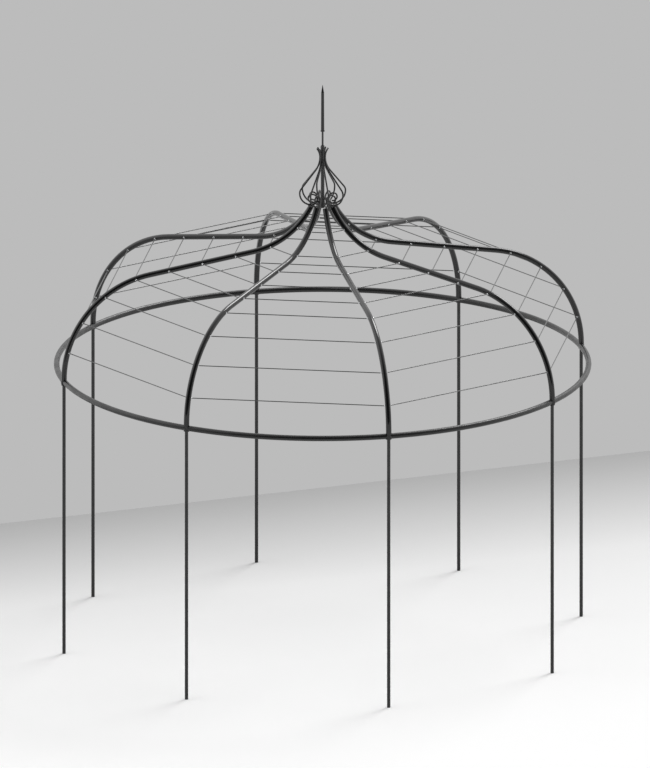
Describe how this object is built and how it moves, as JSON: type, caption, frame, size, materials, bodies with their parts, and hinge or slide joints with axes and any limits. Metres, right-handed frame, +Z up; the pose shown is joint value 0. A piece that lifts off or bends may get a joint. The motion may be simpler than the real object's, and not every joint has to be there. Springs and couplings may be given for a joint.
{
  "type": "garden pavilion",
  "caption": "Open round metal garden pavilion with slim posts, a ring, ogee ribs strung with wires and an onion crown with a spear, for roses and climbing plants",
  "frame": {"origin": "centre of the circle of posts, on the ground that the posts stand on", "axes": "+Z up along the stem, -Y through the middle of bay 1 (the front), +X to the right of a person looking in through bay 1"},
  "size_m": [4.0284, 4.0284, 4.2909],
  "materials": {
    "post": "satin black paint on steel tube",
    "rib": "satin black paint on bent steel tube",
    "ring": "satin black paint on rolled steel tube",
    "wire": "drawn steel wire, dull",
    "crown": "satin black paint on bent steel rod"
  },
  "bodies": {
    "root": {"post_1": "post", "post_2": "post", "post_3": "post", "post_4": "post", "post_5": "post", "post_6": "post", "post_7": "post", "post_8": "post", "rib_1": "rib", "rib_2": "rib", "rib_3": "rib", "rib_4": "rib", "rib_5": "rib", "rib_6": "rib", "rib_7": "rib", "rib_8": "rib", "ring_segment_1": "ring", "ring_segment_2": "ring", "ring_segment_3": "ring", "ring_segment_4": "ring", "ring_segment_5": "ring", "ring_segment_6": "ring", "ring_segment_7": "ring", "ring_segment_8": "ring", "bay_wires_1": "wire", "bay_wires_2": "wire", "bay_wires_3": "wire", "bay_wires_4": "wire", "bay_wires_5": "wire", "bay_wires_6": "wire", "bay_wires_7": "wire", "bay_wires_8": "wire", "crown_rod_1": "crown", "crown_rod_2": "crown", "crown_rod_3": "crown", "crown_rod_4": "crown", "crown_rod_5": "crown", "crown_rod_6": "crown", "crown_rod_7": "crown", "crown_rod_8": "crown", "crown_stem": "crown", "finial_rod": "crown", "finial_spear": "crown"}
  },
  "joints": []
}
